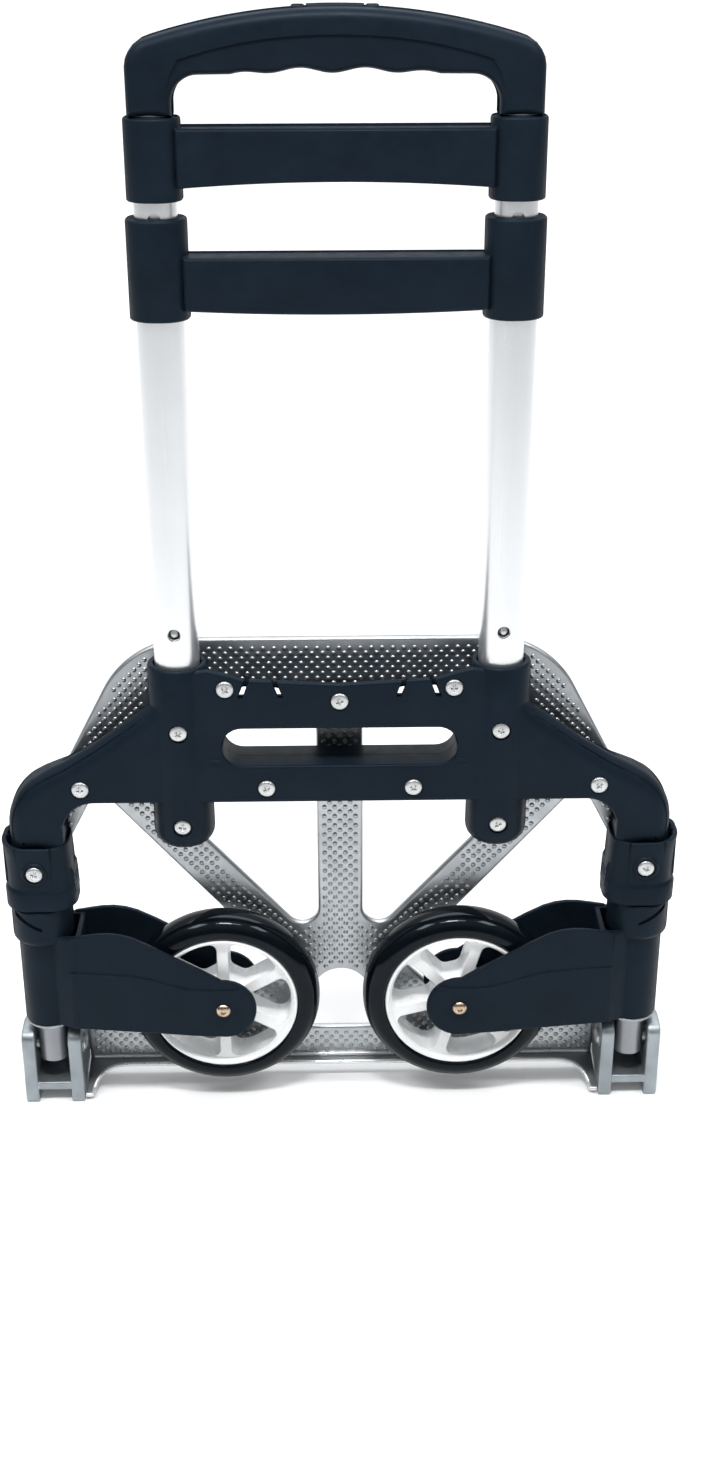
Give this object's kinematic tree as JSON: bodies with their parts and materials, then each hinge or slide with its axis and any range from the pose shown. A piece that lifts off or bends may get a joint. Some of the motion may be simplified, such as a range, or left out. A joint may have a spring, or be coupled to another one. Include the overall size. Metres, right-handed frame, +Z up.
{
  "type": "folding hand truck",
  "caption": "Folding luggage truck stood up folded: telescopic handle down, toe plate folded against the frame, wheels swung in beside each other.",
  "frame": {"origin": "centre of the overall box on the floor under the two hinge blocks, truck folded and upright", "axes": "+Z up along the telescopic tubes, +Y forward to the side the toe plate folds down on, +X to the right seen from behind"},
  "size_m": [0.3962, 0.0444, 0.6349],
  "materials": {
    "black_plastic": "fine-grained black moulding",
    "anodised_tube": "satin anodised",
    "plate_aluminium": "grey satin sheet with raised dimples",
    "cast_alloy": "grey silver casting",
    "post_steel": "dull steel tube",
    "zinc_screw": "bright zinc",
    "axle_steel": "yellow-brown zinc",
    "white_rim": "white moulding",
    "tyre": "smooth glossy black",
    "spring_steel": "bright wire"
  },
  "bodies": {
    "frame": {"main_rear_shell": "black_plastic", "main_front_shell": "black_plastic", "lower_crossbar": "black_plastic", "shell_screw_01": "zinc_screw", "shell_screw_02": "zinc_screw", "shell_screw_03": "zinc_screw", "shell_screw_04": "zinc_screw", "shell_screw_05": "zinc_screw", "shell_screw_06": "zinc_screw", "shell_screw_07": "zinc_screw", "shell_screw_08": "zinc_screw", "shell_screw_09": "zinc_screw", "shell_screw_10": "zinc_screw", "shell_screw_11": "zinc_screw", "left_outer_tube": "anodised_tube", "left_post": "post_steel", "left_post_collar": "black_plastic", "left_collar_screw": "zinc_screw", "right_outer_tube": "anodised_tube", "right_post": "post_steel", "right_post_collar": "black_plastic", "right_collar_screw": "zinc_screw"},
    "middle_stage": {"upper_crossbar": "black_plastic", "left_middle_tube": "anodised_tube", "right_middle_tube": "anodised_tube"},
    "handle_stage": {"handle_rear_shell": "black_plastic", "handle_front_shell": "black_plastic", "left_inner_tube": "anodised_tube", "left_rod_guide": "black_plastic", "left_return_spring": "spring_steel", "left_handle_screw": "zinc_screw", "right_inner_tube": "anodised_tube", "right_rod_guide": "black_plastic", "right_return_spring": "spring_steel", "right_handle_screw": "zinc_screw"},
    "release": {"release_button": "black_plastic", "release_yoke": "spring_steel"},
    "plate": {"toe_plate": "plate_aluminium", "left_hinge_block": "cast_alloy", "left_hinge_pin": "zinc_screw", "left_plate_rivet": "zinc_screw", "right_hinge_block": "cast_alloy", "right_hinge_pin": "zinc_screw", "right_plate_rivet": "zinc_screw"},
    "left_lower_lock": {"left_lower_lock_pin": "zinc_screw"},
    "left_upper_lock": {"left_upper_lock_pin": "zinc_screw"},
    "left_bracket": {"left_wheel_bracket": "black_plastic", "left_bracket_washer": "cast_alloy", "left_axle_bolt": "axle_steel", "left_axle_nut": "axle_steel"},
    "left_wheel": {"left_wheel_rim": "white_rim", "left_tyre": "tyre"},
    "right_lower_lock": {"right_lower_lock_pin": "zinc_screw"},
    "right_upper_lock": {"right_upper_lock_pin": "zinc_screw"},
    "right_bracket": {"right_wheel_bracket": "black_plastic", "right_bracket_washer": "cast_alloy", "right_axle_bolt": "axle_steel", "right_axle_nut": "axle_steel"},
    "right_wheel": {"right_wheel_rim": "white_rim", "right_tyre": "tyre"}
  },
  "joints": [
    {"name": "middle_slide", "type": "slide", "parent": "frame", "child": "middle_stage", "axis": [0, 0, 1], "range_m": [0, 0.19]},
    {"name": "handle_slide", "type": "slide", "parent": "middle_stage", "child": "handle_stage", "axis": [0, 0, 1], "range_m": [0, 0.19]},
    {"name": "button_press", "type": "slide", "parent": "handle_stage", "child": "release", "axis": [0, 0, -1], "range_m": [0, 0.004], "stiffness_N_per_m": 700, "springref_m": -0.01, "deforming": ["left_return_spring", "right_return_spring"]},
    {"name": "plate_fold", "type": "hinge", "parent": "frame", "child": "plate", "pos_m": [0, 0, 0.0372], "axis": [-1, 0, 0], "range_deg": [0, 90]},
    {"name": "left_lower_lock_slide", "type": "slide", "parent": "middle_stage", "child": "left_lower_lock", "axis": [0, 1, 0], "range_m": [0, 0.003]},
    {"name": "left_upper_lock_slide", "type": "slide", "parent": "handle_stage", "child": "left_upper_lock", "axis": [0, 1, 0], "range_m": [0, 0.003]},
    {"name": "left_bracket_swing", "type": "hinge", "parent": "frame", "child": "left_bracket", "pos_m": [-0.1785, 0, 0.1], "axis": [0, 0, -1], "range_deg": [0, 90]},
    {"name": "left_wheel_spin", "type": "hinge", "parent": "left_bracket", "child": "left_wheel", "pos_m": [-0.0715, 0, 0.071], "axis": [0, 1, 0], "continuous": true},
    {"name": "right_lower_lock_slide", "type": "slide", "parent": "middle_stage", "child": "right_lower_lock", "axis": [0, 1, 0], "range_m": [0, 0.003]},
    {"name": "right_upper_lock_slide", "type": "slide", "parent": "handle_stage", "child": "right_upper_lock", "axis": [0, 1, 0], "range_m": [0, 0.003]},
    {"name": "right_bracket_swing", "type": "hinge", "parent": "frame", "child": "right_bracket", "pos_m": [0.1785, 0, 0.1], "axis": [0, 0, 1], "range_deg": [0, 90]},
    {"name": "right_wheel_spin", "type": "hinge", "parent": "right_bracket", "child": "right_wheel", "pos_m": [0.0715, 0, 0.071], "axis": [0, 1, 0], "continuous": true}
  ],
  "couplings": [
    {"joint": "left_lower_lock_slide", "follows": "button_press", "ratio": 0.75},
    {"joint": "left_upper_lock_slide", "follows": "button_press", "ratio": 0.75},
    {"joint": "left_bracket_swing", "follows": "plate_fold", "ratio": 1},
    {"joint": "right_lower_lock_slide", "follows": "button_press", "ratio": 0.75},
    {"joint": "right_upper_lock_slide", "follows": "button_press", "ratio": 0.75},
    {"joint": "right_bracket_swing", "follows": "plate_fold", "ratio": 1}
  ]
}
